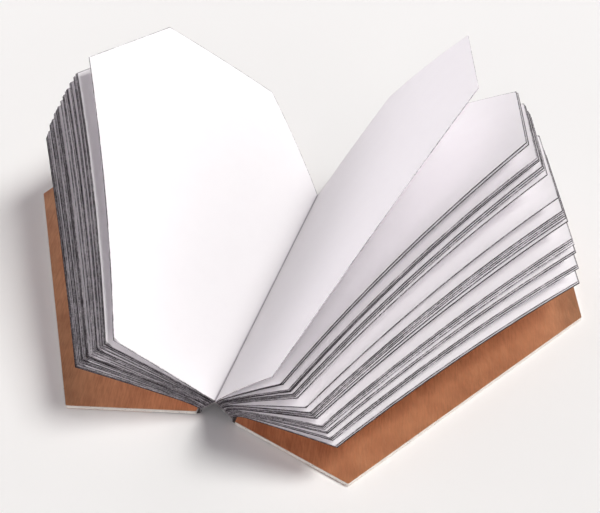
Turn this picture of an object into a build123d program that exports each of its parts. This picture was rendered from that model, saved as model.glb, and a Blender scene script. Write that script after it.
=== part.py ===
# Hand-bound journal with hexagonal leaves, lying open on its two covers with its leaves fanned.
#
# Millimetres. X runs across the open book, Y along its spine from tail to head, Z up.
# The origin is on the floor, in the middle of the space the book takes up.

import os
from math import cos, degrees, radians, sin

from build123d import *

# Page outline
# Every leaf is cut to one irregular hexagon. The spine is one side, and the other corners are
# placed out from the spine and along it, from its tail end or from its head end.
spine_length = 155.0
tail_corner_out = 58.5
tail_corner_past_tail = 16.0
tail_fore_corner_out = 142.0
tail_fore_corner_below_head = 37.5
head_fore_corner_out = 120.5
head_fore_corner_past_head = 28.5
head_corner_out = 53.0
head_corner_past_head = 41.0

# Paper
paper = 0.4
leaf_air = 0.037

# Glued back
# Seen from the tail, the back is an upside-down V. The leaves stand on it and the glue holds them.
back_slope = 46.0
glue = 0.7
foot_clearance = 1.0

# Lie of the leaves
# A leaf rises from the back on a short root strip, at an angle halfway between the root angle and
# its own lean. Past the strip it starts at its lean and sags on one long radius.
right_root_angle = 58.0
left_root_angle = 46.0
root_strip_length = 10.0
sag_radius = 670.0
root_sink = 0.3

# Fan of leaf groups, from the middle of the book out to each cover
# A group is (leaves, lean of its first face, lean of its last face), in degrees above the floor
# halfway along the spine. Past that the leaves sink towards the head, which no spine carries.
leaf_turn = -8.5
upright_leaf_turn = 3.0
upright_leaf = (1, 58.1, 58.1)
right_fan = [
    (3, 46.5, 46.0),
    (3, 43.0, 42.5),
    (4, 41.2, 39.8),
    (1, 34.2, 34.2),
    (5, 31.0, 29.2),
    (6, 24.7, 22.1),
    (3, 19.0, 18.5),
    (2, 14.9, 14.6),
]
left_fan = [
    (1, 46.9, 46.9),
    (3, 40.9, 40.4),
    (4, 35.8, 35.1),
    (10, 32.6, 28.2),
    (9, 26.8, 23.4),
]

# Covers
# The square is how far a board stands out past the leaves.
board = 1.8
copper = 0.3
cloth = 0.3
square = 1.0
joint_width = 1.2
cloth_overlap = 20.0
copper_margin = 0.2
hinge_gap = 0.3

# Derived sizes
outer_skin = max(cloth, copper)
cover_height = outer_skin + board + copper
right_leaves = upright_leaf[0] + sum(group[0] for group in right_fan)
left_leaves = sum(group[0] for group in left_fan)
back_length = max(right_leaves, left_leaves) * (paper + leaf_air)
back_half_width = back_length * cos(radians(back_slope))
back_rise = back_length * sin(radians(back_slope))
ridge_height = cover_height + foot_clearance + back_rise
tail_y = -(spine_length + head_corner_past_head - tail_corner_past_tail) / 2
cover_spine_edge = back_half_width + joint_width
cloth_foot_x = back_half_width - (glue + cloth) * sin(radians(back_slope))
hinge_x = cloth_foot_x + cloth / 2
hinge_z = outer_skin - cloth / 2

page_corners = [
    (tail_corner_out, -tail_corner_past_tail),
    (tail_fore_corner_out, spine_length - tail_fore_corner_below_head),
    (head_fore_corner_out, spine_length + head_fore_corner_past_head),
    (head_corner_out, spine_length + head_corner_past_head),
]
spine_corners = [(0, spine_length), (0, 0)]

# An uncut leaf is larger than its outline by the waste, and a cutting shape is longer than a cover.
waste = 6.0
leaf_reach = tail_fore_corner_out + waste
leaf_ends = (-tail_corner_past_tail - waste, spine_length + head_corner_past_head + waste)
cutter_length = 3 * spine_length


def direction(side: int, angle: float) -> tuple[float, float]:
    """Unit step at an angle above the floor, to the right (side 1) or the left (side -1)."""
    return (side * cos(radians(angle)), sin(radians(angle)))


def place_on_back(side: int, along: float, inwards: float = 0.0) -> tuple[float, float]:
    """Point on one half of the back, seen from the tail: a distance down from the ridge and a
    depth into the glue."""
    slope = direction(side, -back_slope)
    square_to_it = direction(side, 90 - back_slope)
    x = slope[0] * along - square_to_it[0] * inwards
    z = ridge_height + slope[1] * along - square_to_it[1] * inwards
    return (x, z)


def leaf_section(plane: Plane, side: int, roots, leans, root_angle: float) -> Sketch:
    """Section across a group of leaves, seen from the tail: its first and last faces, each a
    straight root strip and then a long sag, closed at the root and at the tip."""
    sag = degrees((leaf_reach - root_strip_length) / sag_radius)
    with BuildSketch(plane) as section:
        with BuildLine():
            starts = []
            tips = []
            for along, lean in zip(roots, leans):
                foot = Vector(*place_on_back(side, along))
                rise = Vector(*direction(side, (lean + root_angle) / 2))
                start = foot - rise * root_sink
                root_strip = Line(start, foot + rise * root_strip_length)
                sweep = JernArc(root_strip @ 1, direction(side, lean), sag_radius, -side * sag)
                starts.append(start)
                tips.append(sweep @ 1)
            Line(*starts)
            Line(*tips)
        make_face()
    return section.sketch


def leaf_group(side: int, roots, leans, turn: float, root_angle: float) -> Part:
    """A group of leaves: a sheet ruled from its tail section to its head section, then cut to
    the page outline, square to the sheet."""
    middle_lean = sum(leans) / 2 - degrees(leaf_reach / 2 / sag_radius)
    across = direction(side, middle_lean)
    root = place_on_back(side, sum(roots) / 2)
    cut = Plane(
        origin=(root[0], tail_y, root[1]),
        x_dir=(across[0], 0, across[1]),
        z_dir=(-across[1], 0, across[0]),
    )
    behind_root = -(glue + roots[1] - roots[0])
    sections = []
    for end in leaf_ends:
        turned = [lean + turn * (end / spine_length - 0.5) for lean in leans]
        plane = Plane.XZ.offset(-(end + tail_y))
        sections.append(leaf_section(plane, side, roots, turned, root_angle))
    with BuildPart() as group:
        loft(sections, ruled=True)
        with BuildSketch(cut):
            with BuildLine():
                root_side = [(behind_root, spine_length), (behind_root, 0)]
                Polyline((0, 0), *page_corners, (0, spine_length), *root_side, close=True)
            make_face()
        extrude(amount=leaf_reach, both=True, mode=Mode.INTERSECT)
    return group.part


def fan(side: int, groups, turns, root_angle: float) -> list[Part]:
    """All the leaf groups of one half of the book, spaced evenly down its half of the back."""
    pitch = back_length / sum(group[0] for group in groups)
    parts = []
    leaves_before = 0
    for (leaves, first_lean, last_lean), turn in zip(groups, turns):
        first_root = leaves_before * pitch + (pitch - paper) / 2
        last_root = (leaves_before + leaves) * pitch - (pitch - paper) / 2
        roots = (first_root, last_root)
        parts.append(leaf_group(side, roots, (first_lean, last_lean), turn, root_angle))
        leaves_before += leaves
    return parts


def arched_strip(outer: float, inner: float) -> list[tuple[float, float]]:
    """Outline, seen from the tail, of a layer on the back between two depths from its roots."""
    half_top = [place_on_back(1, back_length, outer), place_on_back(-1, back_length, outer)]
    ridge_drop = 1 / cos(radians(back_slope))
    return [
        half_top[0],
        (0, ridge_height - outer * ridge_drop),
        half_top[1],
        place_on_back(-1, back_length, inner),
        (0, ridge_height - inner * ridge_drop),
        place_on_back(1, back_length, inner),
    ]


# Pages
# The leaves and the glue they stand in are one solid.
right_groups = fan(
    1,
    [upright_leaf, *right_fan],
    [upright_leaf_turn] + [leaf_turn] * len(right_fan),
    right_root_angle,
)
left_groups = fan(-1, left_fan, [leaf_turn] * len(left_fan), left_root_angle)
spine_tail = Plane.XZ.offset(-tail_y)

with BuildPart() as pages:
    with BuildSketch(spine_tail):
        with BuildLine():
            Polyline(*arched_strip(0, glue), close=True)
        make_face()
    extrude(amount=-spine_length)
    add(right_groups + left_groups)
pages.part.label = "pages"

# Spine cloth
# It lines the back and hangs from each foot, down to where a cover's own cloth begins.
leg_bottom = outer_skin + hinge_gap
with BuildPart() as spine_cloth:
    with BuildSketch(spine_tail):
        with BuildLine():
            Polyline(*arched_strip(glue, glue + cloth), close=True)
        make_face()
        for side in (1, -1):
            outer_foot = place_on_back(side, back_length, glue + cloth)
            inner_foot = place_on_back(side, back_length, glue)
            leg_side = outer_foot[0] + side * cloth
            with BuildLine():
                Polyline(
                    outer_foot,
                    (outer_foot[0], leg_bottom),
                    (leg_side, leg_bottom),
                    (leg_side, inner_foot[1]),
                    inner_foot,
                    close=True,
                )
            make_face()
    extrude(amount=-spine_length)
spine_cloth.part.label = "spine_cloth"


def cover_plane(side: int, height: float) -> Plane:
    """Plane of a cover layer: its X runs out from the cover's spine edge, its Y to the head."""
    origin = (side * cover_spine_edge, tail_y, height)
    return Plane(origin=origin, x_dir=(side, 0, 0), z_dir=(0, 0, side))


def cover_outline(overhang: float) -> Sketch:
    """The page outline grown by an overhang with rounded corners, and cut off at the spine."""
    with BuildSketch() as outline:
        with BuildLine():
            Polyline(*spine_corners, *page_corners, close=True)
        make_face()
        offset(amount=overhang, kind=Kind.ARC)
        with Locations((-cutter_length / 2, spine_length / 2)):
            Rectangle(cutter_length, cutter_length, mode=Mode.SUBTRACT)
    return outline.sketch


def cover_layer(side: int, bottom: float, thickness: float, start: float, overhang: float) -> Part:
    """One layer of a cover, from a distance out from its spine edge to its fore edge."""
    with BuildPart() as layer:
        with BuildSketch(cover_plane(side, bottom)):
            add(cover_outline(overhang))
            width = tail_fore_corner_out + 2 * overhang - start
            with Locations((start + width / 2, spine_length / 2)):
                Rectangle(width, cutter_length, mode=Mode.INTERSECT)
        extrude(amount=side * thickness)
    return layer.part


def hinge_cloth(side: int, overhang: float) -> Part:
    """The cloth under a cover's spine edge. It crosses the joint and ends on the hinge line."""
    hinge_out = cover_spine_edge - (hinge_x - cloth / 2)
    with BuildPart() as strip:
        with BuildSketch(cover_plane(side, outer_skin - cloth)):
            add(cover_outline(overhang))
            with Locations((cloth_overlap / 2, spine_length / 2)):
                Rectangle(cloth_overlap, cutter_length, mode=Mode.INTERSECT)
            with Locations((-hinge_out / 2, spine_length / 2)):
                Rectangle(hinge_out, spine_length)
        extrude(amount=side * cloth)
    return strip.part


# Covers
# Each is a board with copper sheet on both faces, its spine edge cloth-covered underneath.
facing_overhang = square - copper_margin
outside_start = cloth_overlap + copper_margin
covers = []
for side, name in ((-1, "front"), (1, "back")):
    layers = {
        "board": cover_layer(side, outer_skin, board, 0, square),
        "copper_inside": cover_layer(side, outer_skin + board, copper, 0, facing_overhang),
        "copper_outside": cover_layer(side, outer_skin - copper, copper, outside_start, facing_overhang),
        "hinge_cloth": hinge_cloth(side, facing_overhang),
    }
    for layer_name, layer in layers.items():
        layer.label = name + "_" + layer_name
        covers.append(layer)

# Write each piece
os.makedirs("parts", exist_ok=True)
for piece in [pages.part, spine_cloth.part, *covers]:
    export_step(piece, "parts/" + piece.label + ".step")
    print(piece.label, len(piece.solids()), round(piece.volume, 1))
print("hinge line at x", round(hinge_x, 3), "z", round(hinge_z, 3))
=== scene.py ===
# %% [markdown]
# # A hand-bound journal, open with its leaves fanned
# The real book is a stack of thick white leaves cut to an irregular hexagon, glued at the back to a
# strip of dark cloth, between two cover boards faced with sanded copper. The imported model gives
# every solid at its true size. This script dresses it: the rigid covers keep their shape and get
# their finish, the plain page solid is replaced by single curved leaves, and the spine's cloth by
# strips that run from the back to under the covers.

# %% Load the imported model
from math import radians

import bpy
import numpy as np
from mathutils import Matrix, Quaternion, Vector


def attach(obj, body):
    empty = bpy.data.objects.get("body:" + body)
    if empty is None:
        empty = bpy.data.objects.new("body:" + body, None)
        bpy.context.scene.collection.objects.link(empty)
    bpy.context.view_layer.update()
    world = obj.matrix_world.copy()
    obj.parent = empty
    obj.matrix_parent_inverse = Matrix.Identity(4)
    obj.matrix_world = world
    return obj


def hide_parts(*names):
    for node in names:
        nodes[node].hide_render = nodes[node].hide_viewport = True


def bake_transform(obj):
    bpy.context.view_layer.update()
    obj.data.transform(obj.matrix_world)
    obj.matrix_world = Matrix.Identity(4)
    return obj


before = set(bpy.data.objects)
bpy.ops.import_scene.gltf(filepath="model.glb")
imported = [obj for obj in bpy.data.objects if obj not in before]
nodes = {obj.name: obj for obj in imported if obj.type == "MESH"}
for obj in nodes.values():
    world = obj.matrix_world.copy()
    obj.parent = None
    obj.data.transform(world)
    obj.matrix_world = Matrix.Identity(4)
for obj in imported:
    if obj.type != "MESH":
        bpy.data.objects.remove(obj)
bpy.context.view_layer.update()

mm = 0.001
rng = np.random.default_rng(11)

# %% [markdown]
# ## The camera
# The photograph was taken from in front of the tail end, a little to the right and about 43
# degrees above the floor. The lens follows from how fast the pages shrink towards the head. The
# camera is placed, aimed at a point just over the gutter, and turned by a small roll.

# %% Camera
camera_place = Vector((129.8, -368.0, 387.4)) * mm
camera_aim = Vector((15.5, -14.1, 40.0)) * mm
camera_roll = radians(0.52)
lens_mm = 62.94

camera = bpy.data.objects.new("camera", bpy.data.cameras.new("camera"))
bpy.context.scene.collection.objects.link(camera)
camera.data.lens = lens_mm
camera.data.sensor_width = 36
camera.data.clip_start = 0.01
camera.location = camera_place
camera.rotation_mode = "QUATERNION"
look = (camera_aim - camera_place).to_track_quat("-Z", "Y")
camera.rotation_quaternion = look @ Quaternion((0, 0, 1), camera_roll)
bpy.context.scene.camera = camera
bpy.context.scene.view_settings.view_transform = "Standard"
print("camera", round((camera_aim - camera_place).length, 3), "m from its aim")

# %% [markdown]
# ## Helpers for meshes
# Every new piece is a surface worked out on a grid of two parameters. One helper turns such grids
# into a mesh, with any extra values stored on its points, so that each piece needs only its formula.

# %% Mesh helpers
sharp_angle = radians(40)


def make_mesh(name, points, quads, attributes=None, uv=None, slots=None):
    """A mesh object from an array of points and an array of four-cornered faces.

    attributes are single numbers on the points, uv is a pair of numbers on the points, and slots
    gives each face its material number.
    """
    mesh = bpy.data.meshes.new(name)
    mesh.from_pydata(points.tolist(), [], quads.tolist())
    for label, values in (attributes or {}).items():
        layer = mesh.attributes.new(label, "FLOAT", "POINT")
        layer.data.foreach_set("value", values.astype(np.float32))
    if uv is not None:
        corner_points = np.zeros(len(mesh.loops), np.int32)
        mesh.loops.foreach_get("vertex_index", corner_points)
        layer = mesh.uv_layers.new(name="flat")
        layer.data.foreach_set("uv", uv[corner_points].astype(np.float32).ravel())
    if slots is not None:
        mesh.polygons.foreach_set("material_index", slots.astype(np.int32))
    mesh.polygons.foreach_set("use_smooth", np.ones(len(mesh.polygons), bool))
    mesh.set_sharp_from_angle(angle=sharp_angle)
    mesh.validate()
    mesh.update()
    piece = bpy.data.objects.new(name, mesh)
    bpy.context.scene.collection.objects.link(piece)
    return piece


def grid_quads(rows, columns):
    """Faces of a grid whose point (i, j) is number i * columns + j, as an array of four corners."""
    i, j = np.meshgrid(np.arange(rows - 1), np.arange(columns - 1), indexing="ij")
    first = (i * columns + j).ravel()
    return np.stack([first, first + columns, first + columns + 1, first + 1], axis=1)


def grid_rim(rows, columns):
    """Numbers of the points round the rim of such a grid, in one closed loop."""
    number = np.arange(rows * columns).reshape(rows, columns)
    return np.concatenate([number[:-1, 0], number[-1, :-1], number[:0:-1, -1], number[0, :0:-1]])


print("a grid of 3 by 4 points has", len(grid_quads(3, 4)), "faces and", len(grid_rim(3, 4)), "on its rim")

# %% [markdown]
# ## The flat page
# All leaves were cut together to one outline with six corners. Measured along the spine from the
# tail and out from the spine, the corners are the driving sizes here. A Coons patch fills the
# outline: it blends the spine edge with the fore edge and the tail edge with the head edge.

# %% Page outline
spine_length = 155 * mm
spine_tail = np.array([0, 0]) * mm
tail_corner = np.array([-16, 58.5]) * mm
tail_fore_corner = np.array([117.5, 142]) * mm
head_fore_corner = np.array([183.5, 120.5]) * mm
head_corner = np.array([196, 53]) * mm
spine_head = np.array([155, 0]) * mm
tail_y = -90 * mm


def share(start, middle, end):
    """Where the middle corner lies along the two-part line start, middle, end, from 0 to 1."""
    first = np.linalg.norm(middle - start)
    return first / (first + np.linalg.norm(end - middle))


fore_break = share(tail_corner, tail_fore_corner, head_fore_corner)
head_break = share(spine_head, head_corner, head_fore_corner)


def bent_line(t, breaks, corners):
    """Points at t along a line through corners, which are reached at the given breaks."""
    corners = np.array(corners)
    return np.stack([np.interp(t, breaks, corners[:, k]) for k in (0, 1)], axis=-1)


def flat_page(s, t):
    """Flat points (along the spine, out from it), s from tail to head, t from spine to fore edge.

    Coons patch: the blend of spine edge and fore edge, plus the blend of tail edge and head edge,
    less the bilinear blend of the four corners that both of them hold.
    """
    spine = bent_line(s, [0, 1], [spine_tail, spine_head])
    fore = bent_line(s, [0, fore_break, 1], [tail_corner, tail_fore_corner, head_fore_corner])
    tail = bent_line(t, [0, 1], [spine_tail, tail_corner])
    head = bent_line(t, [0, head_break, 1], [spine_head, head_corner, head_fore_corner])
    s, t = s[..., None], t[..., None]
    corners = ((1 - s) * (1 - t) * spine_tail + s * (1 - t) * spine_head
               + (1 - s) * t * tail_corner + s * t * head_fore_corner)
    return (1 - t) * spine + t * fore + (1 - s) * tail + s * head - corners


print("fore corner at", round(float(fore_break), 3), "of its side, head corner at",
      round(float(head_break), 3))

# %% [markdown]
# ## The grid on the page
# The patch is read on a grid of lines. The outline's corners fall on grid lines, so they stay sharp,
# and the lines lie closer together near the spine, where the leaf bends. A second function gives
# the distance to the nearest cut side, because the pencil marked the paper there.

# %% Page grid
def open_edge_distance(flat):
    """Distance from each flat point to the nearest of the five cut sides."""
    corners = np.array([spine_tail, tail_corner, tail_fore_corner, head_fore_corner, head_corner,
                        spine_head])
    start, step = corners[:-1], np.diff(corners, axis=0)
    normal = np.stack([step[:, 1], -step[:, 0]], axis=1)
    normal /= np.linalg.norm(normal, axis=1)[:, None]
    away = np.abs(np.einsum("...k,nk->...n", flat, normal) - (start * normal).sum(axis=1))
    return away.min(axis=-1)


near_edge = 0.008
along_steps = np.unique(np.concatenate([
    np.linspace(0, fore_break, 15), np.linspace(fore_break, 1, 9), [near_edge, 1 - near_edge]]))
root_steps = [0, 0.012, 0.025, 0.04, 0.055, 0.07, 0.09, 0.115, 0.15, 0.2, 0.27, 0.35, 0.42]
out_steps = np.unique(np.concatenate([root_steps, np.linspace(head_break, 1, 9), [1 - near_edge]]))
grid_s, grid_t = np.meshgrid(along_steps, out_steps, indexing="ij")
page_grid = flat_page(grid_s, grid_t)
print("page grid", page_grid.shape[:2], "reach", page_grid.max(axis=(0, 1)).round(4))

# %% [markdown]
# ## How a leaf lies
# Seen from the tail, the glued back is an upside-down V, and each leaf leaves it at one root
# angle. Within a centimetre the leaf bends to its own lean, then it sags on one long radius. The
# lean changes steadily from tail to head, because the head end stands past the spine and nothing
# carries it there. That is a surface of two parameters, the flat page's own coordinates.

# %% Leaf surface
paper = 0.4 * mm
leaf_air = 0.037 * mm
back_slope = radians(46)
right_leaf_count = 28
back_length = right_leaf_count * (paper + leaf_air)
foot_height = 3.4 * mm
ridge_height = foot_height + back_length * np.sin(back_slope)
bend_length = 10 * mm
sag_radius = 670 * mm
root_sink = 0.3 * mm


def leaf_surface(flat, side, along_back, lean, turn, root_angle):
    """Points in space of flat page points: (out across the book, along the spine, up).

    side is 1 on the right and -1 on the left, along_back is how far down its half of the back the
    leaf stands. The leaf's direction is an angle above the floor. Over the bend it runs evenly
    from the root angle to the lean, and past it falls by distance over the sag radius. The point
    is the root plus the integral of that direction, which is a difference of sines and cosines.
    """
    along, out = flat[..., 0], flat[..., 1]
    lean = lean + turn * (along / spine_length - 0.5)
    rate = (lean - root_angle) / bend_length
    in_bend = np.minimum(out, bend_length)
    angle = root_angle + rate * in_bend
    past = np.maximum(out - bend_length, 0)
    sagged = lean - past / sag_radius
    across = np.cos(back_slope) * along_back
    up = ridge_height - np.sin(back_slope) * along_back
    across = across + (np.sin(angle) - np.sin(root_angle)) / rate
    up = up - (np.cos(angle) - np.cos(root_angle)) / rate
    across = across + (np.sin(lean) - np.sin(sagged)) * sag_radius
    up = up + (np.cos(sagged) - np.cos(lean)) * sag_radius
    sink = root_sink * (out <= 0)
    across = across - np.cos(root_angle) * sink
    up = up - np.sin(root_angle) * sink
    return np.stack([side * across, along + tail_y, up], axis=-1)


print("ridge of the back", round(ridge_height / mm, 2), "mm high, each half", round(back_length / mm, 2))

# %% [markdown]
# ## The groups of leaves
# A group is a few leaves that lie close together, given by how many there are and the lean of the
# first and the last, in degrees, as measured in the photograph. Each leaf is cut a touch off the
# others, by hand, and waves a little with its group. A leaf's two faces are the same surface a
# paper's thickness apart.

# %% One leaf
right_root_angle = radians(58)
left_root_angle = radians(46)
leaf_turn = radians(-8.5)
upright_turn = radians(3)
upright_leaf = (1, 58.1, 58.1)
right_fan = [(2, 46.5, 46.1), (3, 43.0, 42.6), (3, 41.2, 40.7), (1, 39.8, 39.8), (1, 34.2, 34.2),
             (4, 31.0, 30.3), (1, 29.7, 29.7), (1, 29.1, 29.1), (4, 24.7, 23.8), (2, 22.3, 22.1),
             (3, 19.0, 18.5), (2, 14.9, 14.6)]
left_fan = [(1, 46.9, 46.9), (2, 41.3, 41.1), (2, 40.3, 40.0), (2, 38.7, 38.4), (3, 36.7, 36.1),
            (2, 35.0, 34.7), (1, 33.4, 33.4), (6, 31.5, 29.7), (4, 28.1, 26.8), (4, 24.9, 23.3)]
cutting_error = 0.22 * mm
wave_height = 0.5 * mm
wave_span = 190 * mm


def leaf_slab(side, along_back, lean, turn, root_angle, wave, cut):
    """Points of a leaf's two faces, the first one upwards. The wave lifts both alike, as a sine
    along the spine that grows with the square of the distance out."""
    flat = page_grid + cut * (page_grid[..., 1:] > 0)
    height, phase = wave
    reach = flat[..., 1] / tail_fore_corner[1]
    lift = height * reach ** 2 * np.sin(2 * np.pi * flat[..., 0] / wave_span + phase)
    faces = []
    for along in (along_back, along_back + paper):
        points = leaf_surface(flat, side, along, lean, turn, root_angle)
        points[..., 0] -= side * np.sin(lean) * lift
        points[..., 2] += np.cos(lean) * lift
        faces.append(points.reshape(-1, 3))
    return faces, flat.reshape(-1, 2)


left_leaf_count = sum(group[0] for group in left_fan)
print("leaves on the left", left_leaf_count, "and on the right", right_leaf_count)

# %% [markdown]
# ## The fan
# All leaves of one side make one mesh. Each leaf's two faces are joined by a wall round the rim,
# which carries the graphite that was rubbed on the cut edges, so the wall has a material slot of
# its own. Every point also stores its leaf's number, which lets the pencil differ from leaf to leaf.

# %% Fan of leaves
def fan_leaves(name, side, groups, turns, root_angle, leaves_before, leaf_total):
    """One mesh of all the leaves of some groups, spaced evenly down one half of the back."""
    pitch = back_length / leaf_total
    rows, columns = page_grid.shape[:2]
    count = rows * columns
    face = grid_quads(rows, columns)
    rim = grid_rim(rows, columns)
    wall = np.stack([rim, np.roll(rim, -1), np.roll(rim, -1) + count, rim + count], axis=1)
    one_leaf = np.concatenate([face, face[:, ::-1] + count, wall[:, ::-1]])
    if side == 1:
        one_leaf = one_leaf[:, ::-1]
    border = open_edge_distance(page_grid).ravel()
    points, uv, quads, leaf_numbers = [], [], [], []
    number = leaves_before
    for (leaves, first_lean, last_lean), turn in zip(groups, turns):
        wave = (wave_height * rng.uniform(-1, 1), rng.uniform(0, 2 * np.pi))
        for lean in np.linspace(first_lean, last_lean, leaves):
            cut = rng.uniform(-1, 1, 2) * cutting_error
            along_back = number * pitch + (pitch - paper) / 2
            faces, flat = leaf_slab(side, along_back, radians(lean), turn, root_angle, wave, cut)
            quads.append(one_leaf + 2 * count * len(leaf_numbers))
            points.extend(faces)
            uv.extend([flat, flat])
            leaf_numbers.append(np.full(2 * count, number + (0.5 if side == 1 else 100.5)))
            number += 1
    slots = np.tile(np.repeat([0, 1], [2 * len(face), len(wall)]), len(leaf_numbers))
    attributes = {"border": np.tile(border, 2 * len(leaf_numbers)),
                  "leaf": np.concatenate(leaf_numbers)}
    piece = make_mesh(name, np.concatenate(points), np.concatenate(quads), attributes,
                      np.concatenate(uv), slots)
    print(name, len(leaf_numbers), "leaves,", len(piece.data.polygons), "faces")
    return piece


upright = fan_leaves("upright_leaf", 1, [upright_leaf], [upright_turn], right_root_angle, 0,
                     right_leaf_count)
right_leaves = fan_leaves("right_leaves", 1, right_fan, [leaf_turn] * len(right_fan),
                          right_root_angle, 1, right_leaf_count)
left_leaves = fan_leaves("left_leaves", -1, left_fan, [leaf_turn] * len(left_fan),
                         left_root_angle, 0, left_leaf_count)

# %% [markdown]
# ## The glued back
# The leaves stand in a thin layer of glue on the upside-down V. The layer is a strip: a profile
# seen from the tail, carried along the spine. The same helper makes the cloth after it.

# %% Glued back
glue = 0.7 * mm


def strip(name, outer, inner, tail_ends, head_ends, length_steps=24):
    """A closed strip between an outer and an inner profile (out, up), both carried along the spine.

    Point (i, j) lies on the profile's point i, at an even share j of the way from that point's
    tail end to its head end. The two sheets are joined round their rims.
    """
    share_along = np.linspace(0, 1, length_steps)
    along = tail_ends[:, None] + (head_ends - tail_ends)[:, None] * share_along
    sheets = []
    for profile in (outer, inner):
        across = np.repeat(profile[:, :1], length_steps, axis=1)
        up = np.repeat(profile[:, 1:], length_steps, axis=1)
        sheets.append(np.stack([across, along, up], axis=-1).reshape(-1, 3))
    rows = len(outer)
    count = rows * length_steps
    face = grid_quads(rows, length_steps)
    rim = grid_rim(rows, length_steps)
    wall = np.stack([rim, rim + count, np.roll(rim, -1) + count, np.roll(rim, -1)], axis=1)
    quads = np.concatenate([face, face[:, ::-1] + count, wall[:, ::-1]])
    travelled = np.concatenate([[0], np.cumsum(np.linalg.norm(np.diff(outer, axis=0), axis=1))])
    uv = np.stack([along.ravel(), np.repeat(travelled, length_steps)], axis=1)
    return make_mesh(name, np.concatenate(sheets), quads, uv=np.concatenate([uv, uv]))


def back_point(side, along_back, depth):
    """A point on one half of the back: a distance down from the ridge and a depth below it."""
    across = np.cos(back_slope) * along_back - np.sin(back_slope) * depth
    up = ridge_height - np.sin(back_slope) * along_back - np.cos(back_slope) * depth
    return np.array([side * across, up])


def ridge_point(depth):
    """The ridge of a layer of the back that lies at a depth below the roots of the leaves."""
    return np.array([0, ridge_height - depth / np.cos(back_slope)])


ends = (np.full(3, tail_y), np.full(3, tail_y + spine_length))
glue_back = strip(
    "glue_back",
    np.array([back_point(-1, back_length, 0), ridge_point(0), back_point(1, back_length, 0)]),
    np.array([back_point(-1, back_length, glue), ridge_point(glue), back_point(1, back_length, glue)]),
    *ends)
print("glue", len(glue_back.data.polygons), "faces")

# %% [markdown]
# ## The cloth that the covers hang on
# Dark cloth is stuck over the glue. It leaves the foot of each half of the back, turns outwards and
# runs under the cover board, so the covers hang on it. Its ends follow the slanting edges of the
# page outline. Under the board they stand a little past them, as the boards do.

# %% Spine cloth
cloth = 0.3 * mm
cloth_overlap = 20 * mm
joint_width = 1.2 * mm
slope_end_gap = 2 * mm
turn_radius = 0.5 * mm
cloth_margin = 0.8 * mm
foot_out = back_length * np.cos(back_slope)
cover_edge = foot_out + joint_width
cloth_foot = foot_out - (glue + cloth) * np.sin(back_slope)
leg_top = foot_height - (glue + cloth) * np.cos(back_slope)


def page_edge_along(out, overhang):
    """Tail and head ends of the page outline, grown by an overhang, at distances out."""
    tail = np.interp(out, [0, tail_corner[1]], [spine_tail[0], tail_corner[0]]) - overhang
    head = np.interp(out, [0, head_corner[1]], [spine_head[0], head_corner[0]]) + overhang
    return tail + tail_y, head + tail_y


def spine_cloth_half(side, name):
    """The cloth of one half: down the back, down its leg, round to the floor and out under the
    board. The turn is a quarter circle, and the inner profile is the outer one less the cloth."""
    turn = np.linspace(0, np.pi / 2, 7)
    slope_part = [ridge_point(glue), back_point(1, back_length - slope_end_gap, glue)]
    leg_x = cloth_foot + cloth
    leg = [np.array([leg_x, leg_top]), np.array([leg_x, cloth + turn_radius])]
    centre = np.array([leg_x + turn_radius, cloth + turn_radius])
    curl = [centre - turn_radius * np.array([np.cos(a), np.sin(a)]) for a in turn[1:]]
    under = [np.array([cover_edge + share_out * cloth_overlap, cloth])
             for share_out in np.linspace(0.1, 1, 8)]
    outer = np.array(slope_part + leg + curl + under)
    step = np.gradient(outer, axis=0)
    normal = np.stack([step[:, 1], -step[:, 0]], axis=1)
    normal /= np.linalg.norm(normal, axis=1)[:, None]
    inner = outer + cloth * normal
    inner[0] = ridge_point(glue + cloth)
    inner[outer[:, 1] <= cloth, 1] = 0
    out = np.maximum(outer[:, 0] - cover_edge, 0)
    beyond = (outer[:, 0] > cover_edge) * cloth_margin
    tail_ends, head_ends = page_edge_along(out, beyond)
    flip = np.array([side, 1])
    sheets = (outer * flip, inner * flip) if side == -1 else (inner * flip, outer * flip)
    return strip(name, *sheets, tail_ends, head_ends)


front_cloth = spine_cloth_half(-1, "front_spine_cloth")
back_cloth = spine_cloth_half(1, "back_spine_cloth")
print("cloth from", round(cloth_foot / mm, 2), "mm to", round((cover_edge + cloth_overlap) / mm, 2))

# %% [markdown]
# ## Helpers for materials
# Materials are node trees. One helper adds a node and fills its inputs, either with values or with
# links from other nodes. The others are short names for the nodes that are used most.

# %% Node helpers
def add(tree, kind, inputs=None, **settings):
    """Adds a node, sets its own settings and fills inputs with numbers, colours or links."""
    node = tree.nodes.new(kind)
    for label, value in settings.items():
        setattr(node, label, value)
    for label, value in (inputs or {}).items():
        socket = node.inputs[label]
        if isinstance(value, bpy.types.NodeSocket):
            tree.links.new(value, socket)
        else:
            socket.default_value = value
    return node


def calc(tree, operation, first, second=0.0, clamp=False):
    """A Math node's result."""
    node = add(tree, "ShaderNodeMath", {0: first, 1: second}, operation=operation, use_clamp=clamp)
    return node.outputs[0]


def mix_colour(tree, factor, first, second):
    """One colour turning into another as the factor goes from 0 to 1."""
    node = add(tree, "ShaderNodeMix", data_type="RGBA")
    for socket, value in zip((node.inputs[0], node.inputs[6], node.inputs[7]),
                             (factor, first, second)):
        if isinstance(value, bpy.types.NodeSocket):
            tree.links.new(value, socket)
        else:
            socket.default_value = value
    return node.outputs[2]


def ramp(tree, value, low, high, to_low=0.0, to_high=1.0):
    """A value brought smoothly from one range into another."""
    node = add(tree, "ShaderNodeMapRange",
               {0: value, 1: low, 2: high, 3: to_low, 4: to_high}, interpolation_type="SMOOTHSTEP")
    return node.outputs[0]


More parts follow.
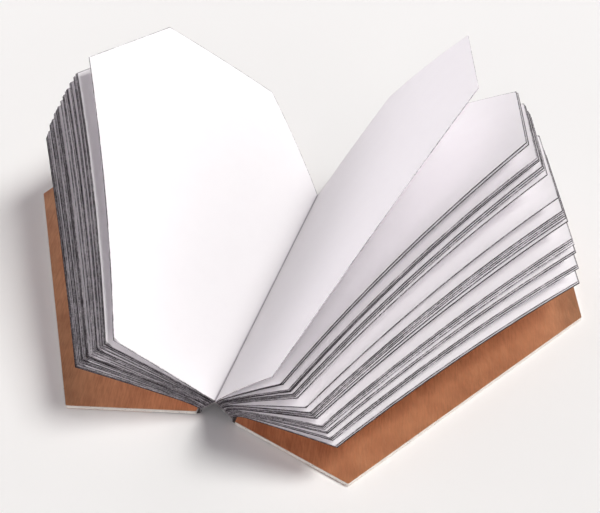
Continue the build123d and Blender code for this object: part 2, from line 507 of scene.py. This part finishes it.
def noise(tree, vector, scale, detail=3.0, roughness=0.55):
    """A Noise Texture's value, about 0.5 on average."""
    node = add(tree, "ShaderNodeTexNoise", {"Vector": vector, "Scale": scale, "Detail": detail,
                                            "Roughness": roughness})
    return node.outputs["Fac"]


def bump(tree, height, distance, strength=1.0):
    """A bump normal from a height between 0 and 1, worth the given distance."""
    node = add(tree, "ShaderNodeBump", {"Strength": strength, "Distance": distance,
                                        "Height": height})
    return node.outputs["Normal"]


print("node helpers", [helper.__name__ for helper in (add, calc, mix_colour, ramp, noise, bump)])

# %% [markdown]
# ## Helpers for groups
# An effect that more than one material uses is a node group with named inputs and outputs, like a
# function. Each material starts as a Principled BSDF, which describes one surface by its colour,
# roughness, metal share and the like.

# %% Group and material helpers
def new_group(name, inputs, outputs):
    """An empty node group. inputs are (name, kind, value), outputs are (name, kind)."""
    group = bpy.data.node_groups.new(name, "ShaderNodeTree")
    for label, kind, value in inputs:
        socket = group.interface.new_socket(label, in_out="INPUT", socket_type=kind)
        if value is not None:
            socket.default_value = value
    for label, kind in outputs:
        group.interface.new_socket(label, in_out="OUTPUT", socket_type=kind)
    return group, group.nodes.new("NodeGroupInput").outputs, group.nodes.new("NodeGroupOutput")


def use_group(tree, group, inputs):
    """Places a group in a material and gives back its outputs."""
    node = add(tree, "ShaderNodeGroup", node_tree=group)
    for label, value in inputs.items():
        if isinstance(value, bpy.types.NodeSocket):
            tree.links.new(value, node.inputs[label])
        else:
            node.inputs[label].default_value = value
    return node.outputs


def new_material(name):
    """A material with an empty tree but for its Principled BSDF and output."""
    material = bpy.data.materials.new(name)
    material.use_nodes = True
    tree = material.node_tree
    return material, tree, tree.nodes["Principled BSDF"]


print("helpers for groups and materials", new_group.__name__, use_group.__name__, new_material.__name__)

# %% [markdown]
# ## Graphite
# The cut edges of the leaves were rubbed with a soft pencil. The rub is dark grey, uneven along
# each edge, heavier on some leaves than on others, and broken by specks of bare paper. The group
# gives how much graphite lies at a point: an amount, plus one number a leaf, plus streaks, strokes
# and specks, which are noises of three sizes. The amount decides how much bare paper is left.

# %% Graphite group
streaks = {"scale": 60.0, "roughness": 0.55, "spread": 0.12, "weight": 0.3}
strokes = {"scale": 260.0, "roughness": 0.6, "spread": 0.1, "weight": 0.25}
specks = {"scale": 1300.0, "roughness": 0.7, "spread": 0.12, "weight": 0.35}
leaf_offset = 0.0137
middle_tone = 0.6
leaf_weight = 0.6

graphite, inside, result = new_group(
    "graphite_rub",
    [("Place", "NodeSocketVector", None), ("Leaf", "NodeSocketFloat", 0.0),
     ("Amount", "NodeSocketFloat", 0.8)],
    [("Mask", "NodeSocketFloat")])
leaf_tone = add(graphite, "ShaderNodeTexWhiteNoise", {"W": inside["Leaf"]},
                noise_dimensions="1D").outputs["Value"]
shifted = add(graphite, "ShaderNodeCombineXYZ",
              {"Z": calc(graphite, "MULTIPLY", inside["Leaf"], leaf_offset)}).outputs[0]
place = add(graphite, "ShaderNodeVectorMath", {0: inside["Place"], 1: shifted},
            operation="ADD").outputs[0]
leaf_share = calc(graphite, "SUBTRACT", leaf_tone, middle_tone)
leaf_share = calc(graphite, "MULTIPLY", leaf_share, leaf_weight)
amount = calc(graphite, "ADD", inside["Amount"], leaf_share)
for layer in (streaks, strokes, specks):
    value = noise(graphite, place, layer["scale"], 2.0, layer["roughness"])
    value = ramp(graphite, value, 0.5 - layer["spread"], 0.5 + layer["spread"], -0.5, 0.5)
    value = calc(graphite, "MULTIPLY", value, layer["weight"])
    amount = calc(graphite, "ADD", amount, value)
amount = calc(graphite, "MULTIPLY", amount, 1.0, clamp=True)
graphite.links.new(amount, result.inputs["Mask"])
print("graphite group", len(graphite.nodes), "nodes")

# %% [markdown]
# ## Paper
# Heavy, smooth, uncoated white paper. Its surface has a faint fibre relief, and the white leans a
# little to violet, which shows where one page shades the next. The graphite also marks a narrow
# border of each face along the cut edge, which the distance stored on the points gives. The border
# is wider on the left stack, and the upright leaf has next to none. Where a leaf meets the back, a
# thin grey line of painted shade stands for the shadow in the crease. A little light passes through
# the paper as subsurface.

# %% Paper materials
paper_white = (0.962, 0.936, 0.96, 1)
paper_fibre = (0.948, 0.92, 0.946, 1)
graphite_grey = (0.020, 0.015, 0.019, 1)
# The bare cut edge is its paper darkened with painted shade of the gaps between the leaves.
edge_paper_and_painted_shade = (0.68, 0.62, 0.67, 1)
# Painted shade: a grey line at each leaf's root stands for the shadow in the crease.
painted_crease_shade = (0.52, 0.48, 0.53, 1)
crease_shade_core = 0.2 * mm
crease_shade_width = 1.1 * mm
fibre_scale = 2600.0
cloud_scale = 90.0
fibre_height = 0.02 * mm
graphite_height = 0.04 * mm
light_depth = 0.5 * mm


def face_paper(name, rub_amount, rub_width):
    """Paper with some graphite along its cut edge and painted shade in the crease at its root."""
    material, tree, shader = new_material(name)
    flat_uv = add(tree, "ShaderNodeUVMap", uv_map="flat").outputs["UV"]
    out = add(tree, "ShaderNodeSeparateXYZ", {0: flat_uv}).outputs[1]
    leaf = add(tree, "ShaderNodeAttribute", attribute_name="leaf").outputs["Fac"]
    border = add(tree, "ShaderNodeAttribute", attribute_name="border").outputs["Fac"]
    fibres = noise(tree, flat_uv, fibre_scale, 3.0)
    cloudy = noise(tree, flat_uv, cloud_scale, 2.0)
    tone = ramp(tree, calc(tree, "ADD", calc(tree, "MULTIPLY", fibres, 0.5),
                           calc(tree, "MULTIPLY", cloudy, 0.5)), 0.35, 0.65)
    white = mix_colour(tree, tone, paper_white, paper_fibre)
    # Painted shade in the crease: the strip at the root is mixed towards grey.
    crease_shade = ramp(tree, out, crease_shade_core, crease_shade_width, 1.0, 0.0)
    white = mix_colour(tree, crease_shade, white, painted_crease_shade)
    rub = use_group(tree, graphite, {"Place": flat_uv, "Leaf": leaf, "Amount": rub_amount})["Mask"]
    rub = calc(tree, "MULTIPLY", rub, ramp(tree, border, 0.0, rub_width, 1.0, 0.0))
    tree.links.new(mix_colour(tree, rub, white, graphite_grey), shader.inputs["Base Color"])
    tree.links.new(bump(tree, fibres, fibre_height, 0.5), shader.inputs["Normal"])
    shader.inputs["Roughness"].default_value = 0.75
    shader.inputs["Specular IOR Level"].default_value = 0.25
    shader.inputs["Subsurface Weight"].default_value = 0.35
    shader.inputs["Subsurface Radius"].default_value = (1.0, 1.0, 1.0)
    shader.inputs["Subsurface Scale"].default_value = light_depth
    return material


def edge_of_paper(name, rub_amount):
    """The cut edge of the paper under its graphite; its bare paper is darkened as painted shade."""
    material, tree, shader = new_material(name)
    flat_uv = add(tree, "ShaderNodeUVMap", uv_map="flat").outputs["UV"]
    leaf = add(tree, "ShaderNodeAttribute", attribute_name="leaf").outputs["Fac"]
    rub = use_group(tree, graphite, {"Place": flat_uv, "Leaf": leaf, "Amount": rub_amount})["Mask"]
    tree.links.new(mix_colour(tree, rub, edge_paper_and_painted_shade, graphite_grey), shader.inputs["Base Color"])
    tree.links.new(bump(tree, rub, graphite_height, 0.6), shader.inputs["Normal"])
    shader.inputs["Roughness"].default_value = 0.7
    shader.inputs["Specular IOR Level"].default_value = 0.15
    return material


rubbed_edge = edge_of_paper("rubbed_edge", 1.1)
right_paper = (face_paper("right_paper", 0.7, 0.5 * mm), rubbed_edge)
left_paper = (face_paper("left_paper", 0.75, 0.7 * mm), rubbed_edge)
# The upright leaf's cut edge is mostly bare paper darkened as painted shade.
upright_paper = (face_paper("upright_paper", 0.0, 0.1 * mm), edge_of_paper("bare_edge_painted_shade", 0.2))
for piece, pair in ((upright, upright_paper), (right_leaves, right_paper), (left_leaves, left_paper)):
    for material in pair:
        piece.data.materials.append(material)
print("paper on", len(right_leaves.data.polygons) + len(left_leaves.data.polygons), "faces")

# %% [markdown]
# ## Sanded copper
# The sheets were sanded by hand, so fine scratches run mostly one way, with a coarser set some
# degrees off. Scratches are noise stretched along their direction: the place is turned so that they
# run along Y, and Y is then squeezed. They change the colour and the roughness and raise the
# surface a little. A mottle of spots about a centimetre across and a broad dull bloom lie over them.

# %% Scratch group and copper
scratch_squeeze = 0.06
fine_set = {"angle": radians(-12), "fineness": 1200.0, "weight": 0.6}
coarse_set = {"angle": radians(-30), "fineness": 700.0, "weight": 0.4}

scratches, inside, result = new_group(
    "sanding_scratches",
    [("Place", "NodeSocketVector", None), ("Angle", "NodeSocketFloat", 0.0),
     ("Fineness", "NodeSocketFloat", 1800.0)],
    [("Mask", "NodeSocketFloat")])
turned = add(scratches, "ShaderNodeVectorRotate",
             {"Vector": inside["Place"], "Angle": inside["Angle"]},
             rotation_type="Z_AXIS").outputs[0]
stretched = add(scratches, "ShaderNodeVectorMath", {0: turned, 1: (1.0, scratch_squeeze, 1.0)},
                operation="MULTIPLY").outputs[0]
scratches.links.new(noise(scratches, stretched, inside["Fineness"], 3.0, 0.6),
                    result.inputs["Mask"])

copper_bright = (0.78, 0.41, 0.225, 1)
copper_dull = (0.46, 0.20, 0.105, 1)
mottle_scale = 110.0
bloom_scale = 22.0
lines_weight = 0.34
mottle_weight = 0.3
bloom_weight = 0.3
smoothest = 0.42
roughest = 0.54
scratch_depth = 0.02 * mm

copper, tree, shader = new_material("sanded_copper")
place = add(tree, "ShaderNodeTexCoord").outputs["Object"]
both = 0.0
for layer in (fine_set, coarse_set):
    mask = use_group(tree, scratches, {"Place": place, "Angle": layer["angle"],
                                       "Fineness": layer["fineness"]})["Mask"]
    both = calc(tree, "ADD", both, calc(tree, "MULTIPLY", mask, layer["weight"]))
lines = ramp(tree, both, 0.36, 0.64)
mottle = ramp(tree, noise(tree, place, mottle_scale, 3.0), 0.3, 0.7)
bloom = ramp(tree, noise(tree, place, bloom_scale, 2.0), 0.3, 0.7)
shade = calc(tree, "ADD", calc(tree, "MULTIPLY", lines, lines_weight),
             calc(tree, "MULTIPLY", mottle, mottle_weight))
shade = calc(tree, "ADD", shade, calc(tree, "MULTIPLY", bloom, bloom_weight), clamp=True)
tree.links.new(mix_colour(tree, shade, copper_bright, copper_dull), shader.inputs["Base Color"])
tree.links.new(ramp(tree, lines, 0.0, 1.0, smoothest, roughest), shader.inputs["Roughness"])
tree.links.new(bump(tree, both, scratch_depth, 0.5), shader.inputs["Normal"])
shader.inputs["Metallic"].default_value = 1.0
print("copper", len(tree.nodes), "nodes")

# %% [markdown]
# ## Raw board, cloth and glue
# The covers' cut edges show cream board, pressed in layers, with small dark specks. The cloth is a
# dark grey plain weave: two sine waves across each other, threads going over and under, with
# painted shade in the hollows between them. The glue is dull and grey, since the pencil went over
# it too.

# %% Board, cloth and glue materials
board_cream = (0.78, 0.75, 0.69, 1)
board_shade = (0.60, 0.57, 0.52, 1)
board_speck = (0.12, 0.10, 0.09, 1)
layer_squeeze = 12.0
layer_scale = 260.0
board_speck_scale = 900.0
layer_depth = 0.05 * mm

board, tree, shader = new_material("raw_board")
place = add(tree, "ShaderNodeTexCoord").outputs["Object"]
layers = add(tree, "ShaderNodeVectorMath", {0: place, 1: (1.0, 1.0, layer_squeeze)},
             operation="MULTIPLY").outputs[0]
layer_tone = ramp(tree, noise(tree, layers, layer_scale, 4.0), 0.3, 0.7)
specked = ramp(tree, noise(tree, place, board_speck_scale, 2.0), 0.66, 0.72)
cream = mix_colour(tree, layer_tone, board_cream, board_shade)
tree.links.new(mix_colour(tree, specked, cream, board_speck), shader.inputs["Base Color"])
tree.links.new(bump(tree, layer_tone, layer_depth, 0.7), shader.inputs["Normal"])
shader.inputs["Roughness"].default_value = 0.85

thread_pitch = 0.55 * mm
thread_height = 0.08 * mm
# Painted shade: the hollows between the threads are coloured darker than the threads.
cloth_hollow_shade = (0.095, 0.087, 0.088, 1)
cloth_thread = (0.17, 0.16, 0.16, 1)

book_cloth, tree, shader = new_material("book_cloth")
flat_uv = add(tree, "ShaderNodeUVMap", uv_map="flat").outputs["UV"]
along, across = (add(tree, "ShaderNodeSeparateXYZ", {0: flat_uv}).outputs[k] for k in (0, 1))
turns = 2 * np.pi / thread_pitch
warp = calc(tree, "SINE", calc(tree, "MULTIPLY", along, turns))
weft = calc(tree, "SINE", calc(tree, "MULTIPLY", across, turns))
weave = ramp(tree, calc(tree, "MULTIPLY", warp, weft), -1.0, 1.0)
tree.links.new(mix_colour(tree, weave, cloth_hollow_shade, cloth_thread), shader.inputs["Base Color"])
tree.links.new(bump(tree, weave, thread_height, 0.8), shader.inputs["Normal"])
shader.inputs["Roughness"].default_value = 0.9
shader.inputs["Sheen Weight"].default_value = 0.2

glue_grey = (0.45, 0.43, 0.42, 1)
glue_rub = 0.7

dull_glue, tree, shader = new_material("dull_glue")
place = add(tree, "ShaderNodeTexCoord").outputs["Object"]
rub = use_group(tree, graphite, {"Place": place, "Amount": glue_rub})["Mask"]
tree.links.new(mix_colour(tree, rub, glue_grey, graphite_grey), shader.inputs["Base Color"])
shader.inputs["Roughness"].default_value = 0.6
print("materials", [material.name for material in (copper, board, book_cloth, dull_glue)])

# %% [markdown]
# ## Dressing the solids
# The boards and the copper sheets are right as solids, so they stay and only get their material.
# The leaves and the glue ride on the text block's body. The cloth strips stay where they were
# made, and the solids that they replace are hidden.

# %% Materials, bodies and replaced nodes
for label, node in nodes.items():
    if "copper" in label:
        material = copper
    elif "board" in label:
        material = board
    else:
        continue
    node.data.materials.clear()
    node.data.materials.append(material)

glue_back.data.materials.append(dull_glue)
for piece in (upright, right_leaves, left_leaves, glue_back):
    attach(piece, "text_block")
    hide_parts("pages")

for piece, cover in ((front_cloth, "front"), (back_cloth, "back")):
    piece.data.materials.append(book_cloth)
    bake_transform(piece)
    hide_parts("spine_cloth", cover + "_hinge_cloth")

# %% [markdown]
# ## The floor
# The book stands on a plain pale floor. The floor is a little paler to the camera, and to
# reflections, than it is to the light, so that it looks nearly white but throws less light back.

# %% Floor
floor_size = 8.0
half = floor_size / 2
below = -0.05 * mm
floor_mesh = bpy.data.meshes.new("floor")
floor_mesh.from_pydata([(-half, -half, below), (half, -half, below), (half, half, below),
                        (-half, half, below)], [], [(0, 1, 2, 3)])
floor = bpy.data.objects.new("floor", floor_mesh)
bpy.context.scene.collection.objects.link(floor)


def seen_directly(tree):
    """1 for camera, glossy and transmission rays, which see a backdrop, and 0 for light."""
    path = add(tree, "ShaderNodeLightPath").outputs
    seen = calc(tree, "ADD", path["Is Camera Ray"], path["Is Glossy Ray"], clamp=True)
    return calc(tree, "ADD", seen, path["Is Transmission Ray"], clamp=True)


floor_light = (0.90, 0.89, 0.875, 1)
floor_seen = (1.0, 0.995, 0.985, 1)
floor_white, tree, shader = new_material("floor_white")
tree.links.new(mix_colour(tree, seen_directly(tree), floor_light, floor_seen),
               shader.inputs["Base Color"])
shader.inputs["Roughness"].default_value = 0.8
shader.inputs["Specular IOR Level"].default_value = 0.1
floor_mesh.materials.append(floor_white)
print("floor", floor_size, "m wide")

# %% [markdown]
# ## The main light
# It is a sun lamp with a wide disk, like a big soft panel far off, so the floor is lit evenly. It
# stands on the right, a little behind, and just steep enough to clear the upright leaf: the left
# page is bright, the upright leaf shows its shaded side and the stack on the left is dark.

# %% Sun lamp
key_azimuth = radians(73)
key_height = radians(57)
key_strength = 2.1
key_spread = radians(21)
key_colour = (1.0, 0.995, 0.97)
towards = Vector((np.sin(key_azimuth) * np.cos(key_height),
                  np.cos(key_azimuth) * np.cos(key_height), np.sin(key_height)))
key = bpy.data.objects.new("key", bpy.data.lights.new("key", "SUN"))
bpy.context.scene.collection.objects.link(key)
key.data.energy = key_strength
key.data.angle = key_spread
key.data.color = key_colour
key.rotation_mode = "QUATERNION"
key.rotation_quaternion = (-towards).to_track_quat("-Z", "Y")
print("key light from", tuple(round(v, 2) for v in towards))

# %% [markdown]
# ## The sky
# The sky is a pale violet band low down all round, which reaches into the gaps of the fan, and a
# faint light from the left. The band is weaker in front, where the spine throws its shadow. Up to
# the band's full height it has its full value, and it fades smoothly to nothing at its end.

# %% Sky
def lobe(tree, direction, side, strength):
    """Light from one side: the cosine of the angle between it and a direction, times a strength."""
    cosine = add(tree, "ShaderNodeVectorMath", {0: direction, 1: side}, operation="DOT_PRODUCT")
    return calc(tree, "MULTIPLY", calc(tree, "MAXIMUM", cosine.outputs["Value"], 0.0), strength)


sky_tint = (1.0, 0.955, 0.995, 1)
band_full = 0.15
band_end = 0.6
horizon_value = 2.6
from_left = 0.12
less_in_front = -0.25
world = bpy.data.worlds.new("sky")
bpy.context.scene.world = world
world.use_nodes = True
tree = world.node_tree
background = tree.nodes["Background"]
direction = add(tree, "ShaderNodeTexCoord").outputs["Generated"]
height = add(tree, "ShaderNodeSeparateXYZ", {0: direction}).outputs[2]
left = lobe(tree, direction, (-1, 0, 0), from_left)
horizon = ramp(tree, height, band_full, band_end, horizon_value, 0.0)
front_share = calc(tree, "ADD", 1.0, lobe(tree, direction, (0, -1, 0), less_in_front))
horizon = calc(tree, "MULTIPLY", horizon, front_share)
tree.links.new(calc(tree, "ADD", left, horizon), background.inputs["Strength"])
background.inputs["Color"].default_value = sky_tint
print("sky band", horizon_value, "at the horizon, nothing above", band_end)
